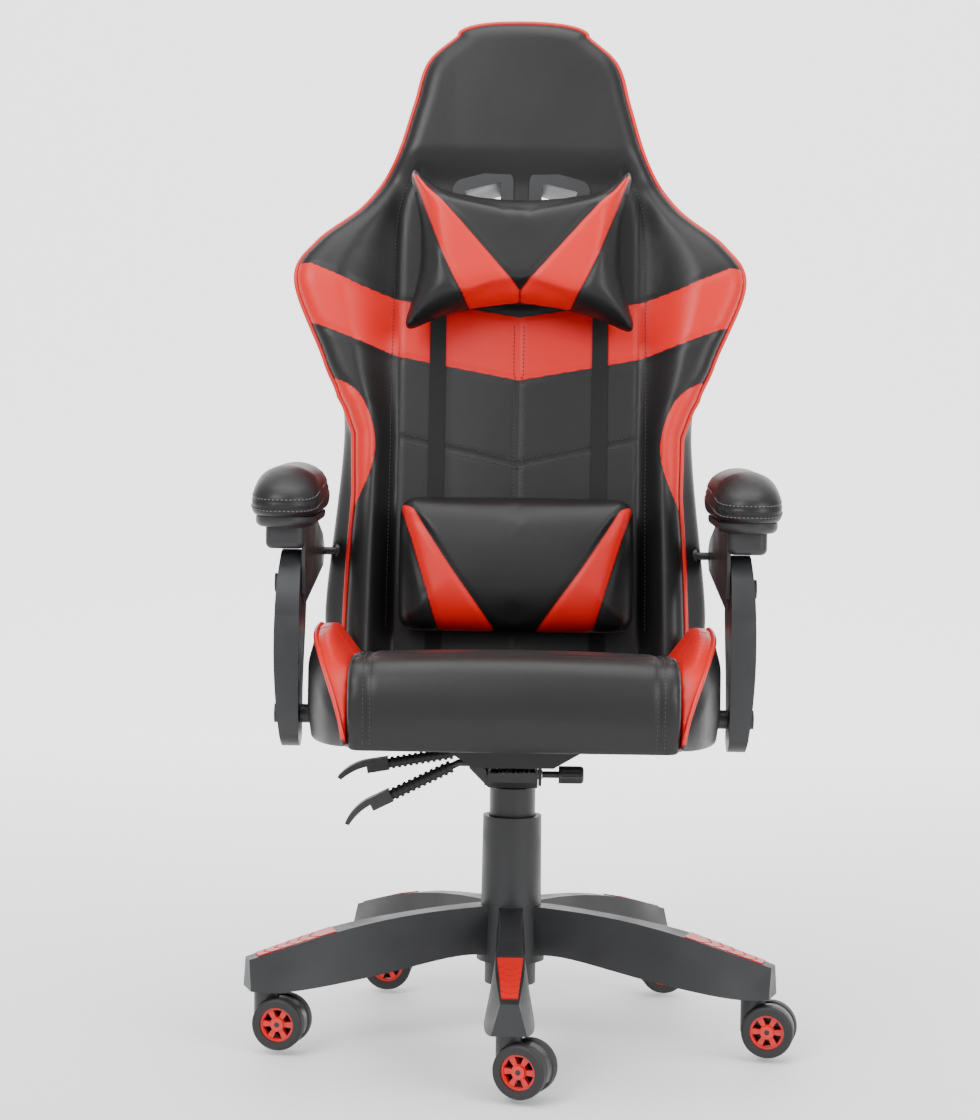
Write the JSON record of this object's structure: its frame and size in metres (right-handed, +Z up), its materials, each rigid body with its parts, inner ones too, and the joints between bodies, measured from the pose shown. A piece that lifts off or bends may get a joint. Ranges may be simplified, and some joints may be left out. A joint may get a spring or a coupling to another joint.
{
  "type": "gaming chair",
  "caption": "Racing-style swivel chair: padded reclining back, head and lumbar pillows, linked armrests, gas lift and castor base.",
  "frame": {"origin": "on the floor, on the gas lift's axis", "axes": "+Z up; the sitter faces -Y; +X is the sitter's left"},
  "size_m": [0.6412, 0.7127, 1.2261],
  "materials": {
    "upholstery_black": "satin black polyurethane leather with red panels",
    "pillow": "satin polyurethane leather",
    "nylon": "matte glass-filled nylon",
    "red_plastic": "semi-gloss red plastic",
    "castor_plastic": "matte black nylon",
    "tyre": "matte polyurethane tread",
    "black_steel": "black powder coat",
    "steel": "bright steel",
    "sleeve": "matte ribbed rubber",
    "strap": "black elastic webbing"
  },
  "bodies": {
    "base": {"base_star": "nylon", "arm_inlays": "red_plastic", "gas_lift_tube": "black_steel", "lift_guide_bush": "nylon", "column_cover_lower": "nylon"},
    "lift_rod": {"lift_piston_rod": "steel"},
    "cover_middle": {"column_cover_middle": "nylon"},
    "mechanism": {"lift_cylinder": "black_steel", "column_cover_upper": "nylon", "mechanism_box": "black_steel", "tilt_spring": "steel"},
    "valve": {"lift_valve_button": "steel"},
    "height_lever": {"height_lever_rod": "black_steel", "height_lever_sleeve": "sleeve", "height_lever_handle": "nylon"},
    "tilt_lever": {"tilt_lever_rod": "black_steel", "tilt_lever_sleeve": "sleeve", "tilt_lever_handle": "nylon"},
    "knob": {"tension_knob": "nylon"},
    "seat": {"seat_plate": "black_steel", "seat_plate_bolts": "steel", "seat_frame": "black_steel", "seat_cushion": "upholstery_black", "seat_bolsters": "upholstery_black", "recliner_seat_plates": "black_steel", "recliner_covers": "nylon", "arm_bolts_seat": "black_steel", "tilt_shaft": "steel"},
    "recline_release": {"recline_sync_rod": "steel", "recline_lever": "nylon"},
    "back": {"back_frame": "black_steel", "back_cushion": "upholstery_black", "grommets": "nylon", "recliner_back_plates": "black_steel", "pillow_straps": "strap", "arm_bolts_back": "black_steel"},
    "head_pillow": {"head_pillow": "pillow"},
    "lumbar_pillow": {"lumbar_pillow": "pillow"},
    "strut_left": {"strut_left": "nylon"},
    "pad_left": {"pad_bracket_left": "nylon", "arm_pad_left": "upholstery_black"},
    "strut_right": {"strut_right": "nylon"},
    "pad_right": {"pad_bracket_right": "nylon", "arm_pad_right": "upholstery_black"},
    "castor_front_swivel": {"castor_front_frame": "castor_plastic"},
    "castor_front_wheel_outer": {"castor_front_wheel_outer": "tyre"},
    "castor_front_wheel_inner": {"castor_front_wheel_inner": "tyre"},
    "castor_front_left_swivel": {"castor_front_left_frame": "castor_plastic"},
    "castor_front_left_wheel_outer": {"castor_front_left_wheel_outer": "tyre"},
    "castor_front_left_wheel_inner": {"castor_front_left_wheel_inner": "tyre"},
    "castor_rear_left_swivel": {"castor_rear_left_frame": "castor_plastic"},
    "castor_rear_left_wheel_outer": {"castor_rear_left_wheel_outer": "tyre"},
    "castor_rear_left_wheel_inner": {"castor_rear_left_wheel_inner": "tyre"},
    "castor_rear_right_swivel": {"castor_rear_right_frame": "castor_plastic"},
    "castor_rear_right_wheel_outer": {"castor_rear_right_wheel_outer": "tyre"},
    "castor_rear_right_wheel_inner": {"castor_rear_right_wheel_inner": "tyre"},
    "castor_front_right_swivel": {"castor_front_right_frame": "castor_plastic"},
    "castor_front_right_wheel_outer": {"castor_front_right_wheel_outer": "tyre"},
    "castor_front_right_wheel_inner": {"castor_front_right_wheel_inner": "tyre"}
  },
  "joints": [
    {"name": "lift_swivel", "type": "hinge", "parent": "base", "child": "lift_rod", "pos_m": [0, 0, 0.06], "axis": [0, 0, 1], "continuous": true},
    {"name": "lift_height", "type": "slide", "parent": "lift_rod", "child": "mechanism", "axis": [0, 0, 1], "range_m": [-0.04, 0.04]},
    {"name": "cover_slide", "type": "slide", "parent": "lift_rod", "child": "cover_middle", "axis": [0, 0, 1], "range_m": [-0.032, 0.032]},
    {"name": "height_lever_pull", "type": "hinge", "parent": "mechanism", "child": "height_lever", "pos_m": [-0.045, 0, 0.333], "axis": [0, 1, 0], "range_deg": [0, 4.5], "stiffness_Nm_per_rad": 1, "springref_deg": -5.73},
    {"name": "valve_press", "type": "slide", "parent": "mechanism", "child": "valve", "axis": [0, 0, 1], "range_m": [-0.0036, 0]},
    {"name": "tilt_lever_lift", "type": "hinge", "parent": "mechanism", "child": "tilt_lever", "pos_m": [-0.045, -0.096, 0.333], "axis": [0, 1, 0], "range_deg": [0, 8]},
    {"name": "seat_tilt", "type": "hinge", "parent": "mechanism", "child": "seat", "pos_m": [0, -0.062, 0.316], "axis": [-1, 0, 0], "range_deg": [0, 10], "stiffness_Nm_per_rad": 200, "springref_deg": -17.19},
    {"name": "tension_turn", "type": "hinge", "parent": "seat", "child": "knob", "pos_m": [0.066, -0.062, 0.316], "axis": [1, 0, 0], "range_deg": [-360, 360]},
    {"name": "recline", "type": "hinge", "parent": "seat", "child": "back", "pos_m": [0, 0.212, 0.404], "axis": [-1, 0, 0], "range_deg": [-10, 50]},
    {"name": "recline_lever_pull", "type": "hinge", "parent": "seat", "child": "recline_release", "pos_m": [0, 0.212, 0.404], "axis": [-1, 0, 0], "range_deg": [0, 12], "stiffness_Nm_per_rad": 1.5, "springref_deg": -17.19},
    {"name": "head_pillow_slide", "type": "slide", "parent": "back", "child": "head_pillow", "axis": [0, 0.1736, 0.9848], "range_m": [-0.04, 0.02]},
    {"name": "lumbar_pillow_slide", "type": "slide", "parent": "back", "child": "lumbar_pillow", "axis": [0, 0.1736, 0.9848], "range_m": [0, 0.08]},
    {"name": "strut_left_swing", "type": "hinge", "parent": "seat", "child": "strut_left", "pos_m": [0.26, -0.06628, 0.38367], "axis": [-1, 0, 0], "range_deg": [-10, 50]},
    {"name": "pad_left_level", "type": "hinge", "parent": "strut_left", "child": "pad_left", "pos_m": [0.26, -0.055, 0.534], "axis": [-1, 0, 0], "range_deg": [-50, 10]},
    {"name": "strut_right_swing", "type": "hinge", "parent": "seat", "child": "strut_right", "pos_m": [-0.26, -0.06628, 0.38367], "axis": [-1, 0, 0], "range_deg": [-10, 50]},
    {"name": "pad_right_level", "type": "hinge", "parent": "strut_right", "child": "pad_right", "pos_m": [-0.26, -0.055, 0.534], "axis": [-1, 0, 0], "range_deg": [-50, 10]},
    {"name": "castor_front_swivel", "type": "hinge", "parent": "base", "child": "castor_front_swivel", "pos_m": [0, -0.295, 0.066], "axis": [0, 0, 1], "continuous": true},
    {"name": "castor_front_wheel_outer_spin", "type": "hinge", "parent": "castor_front_swivel", "child": "castor_front_wheel_outer", "pos_m": [0.01774, -0.30181, 0.03], "axis": [0.3584, 0.9336, 0], "continuous": true},
    {"name": "castor_front_wheel_inner_spin", "type": "hinge", "parent": "castor_front_swivel", "child": "castor_front_wheel_inner", "pos_m": [0.01774, -0.30181, 0.03], "axis": [0.3584, 0.9336, 0], "continuous": true},
    {"name": "castor_front_left_swivel", "type": "hinge", "parent": "base", "child": "castor_front_left_swivel", "pos_m": [0.28056, -0.09116, 0.066], "axis": [0, 0, 1], "continuous": true},
    {"name": "castor_front_left_wheel_outer_spin", "type": "hinge", "parent": "castor_front_left_swivel", "child": "castor_front_left_wheel_outer", "pos_m": [0.29915, -0.09511, 0.03], "axis": [0.2079, 0.9781, 0], "continuous": true},
    {"name": "castor_front_left_wheel_inner_spin", "type": "hinge", "parent": "castor_front_left_swivel", "child": "castor_front_left_wheel_inner", "pos_m": [0.29915, -0.09511, 0.03], "axis": [0.2079, 0.9781, 0], "continuous": true},
    {"name": "castor_rear_left_swivel", "type": "hinge", "parent": "base", "child": "castor_rear_left_swivel", "pos_m": [0.1734, 0.23866, 0.066], "axis": [0, 0, 1], "continuous": true},
    {"name": "castor_rear_left_wheel_outer_spin", "type": "hinge", "parent": "castor_rear_left_swivel", "child": "castor_rear_left_wheel_outer", "pos_m": [0.19221, 0.2413, 0.03], "axis": [-0.1392, 0.9903, 0], "continuous": true},
    {"name": "castor_rear_left_wheel_inner_spin", "type": "hinge", "parent": "castor_rear_left_swivel", "child": "castor_rear_left_wheel_inner", "pos_m": [0.19221, 0.2413, 0.03], "axis": [-0.1392, 0.9903, 0], "continuous": true},
    {"name": "castor_rear_right_swivel", "type": "hinge", "parent": "base", "child": "castor_rear_right_swivel", "pos_m": [-0.1734, 0.23866, 0.066], "axis": [0, 0, 1], "continuous": true},
    {"name": "castor_rear_right_wheel_outer_spin", "type": "hinge", "parent": "castor_rear_right_swivel", "child": "castor_rear_right_wheel_outer", "pos_m": [-0.15442, 0.23767, 0.03], "axis": [0.0523, 0.9986, 0], "continuous": true},
    {"name": "castor_rear_right_wheel_inner_spin", "type": "hinge", "parent": "castor_rear_right_swivel", "child": "castor_rear_right_wheel_inner", "pos_m": [-0.15442, 0.23767, 0.03], "axis": [0.0523, 0.9986, 0], "continuous": true},
    {"name": "castor_front_right_swivel", "type": "hinge", "parent": "base", "child": "castor_front_right_swivel", "pos_m": [-0.28056, -0.09116, 0.066], "axis": [0, 0, 1], "continuous": true},
    {"name": "castor_front_right_wheel_outer_spin", "type": "hinge", "parent": "castor_front_right_swivel", "child": "castor_front_right_wheel_outer", "pos_m": [-0.26198, -0.09511, 0.03], "axis": [0.2079, 0.9781, 0], "continuous": true},
    {"name": "castor_front_right_wheel_inner_spin", "type": "hinge", "parent": "castor_front_right_swivel", "child": "castor_front_right_wheel_inner", "pos_m": [-0.26198, -0.09511, 0.03], "axis": [0.2079, 0.9781, 0], "continuous": true}
  ],
  "couplings": [
    {"joint": "cover_slide", "follows": "lift_height", "ratio": 0.8},
    {"joint": "valve_press", "follows": "height_lever_pull", "m_per_rad": -0.045},
    {"joint": "strut_left_swing", "follows": "recline", "ratio": 1},
    {"joint": "pad_left_level", "follows": "recline", "ratio": -1},
    {"joint": "strut_right_swing", "follows": "recline", "ratio": 1},
    {"joint": "pad_right_level", "follows": "recline", "ratio": -1}
  ]
}
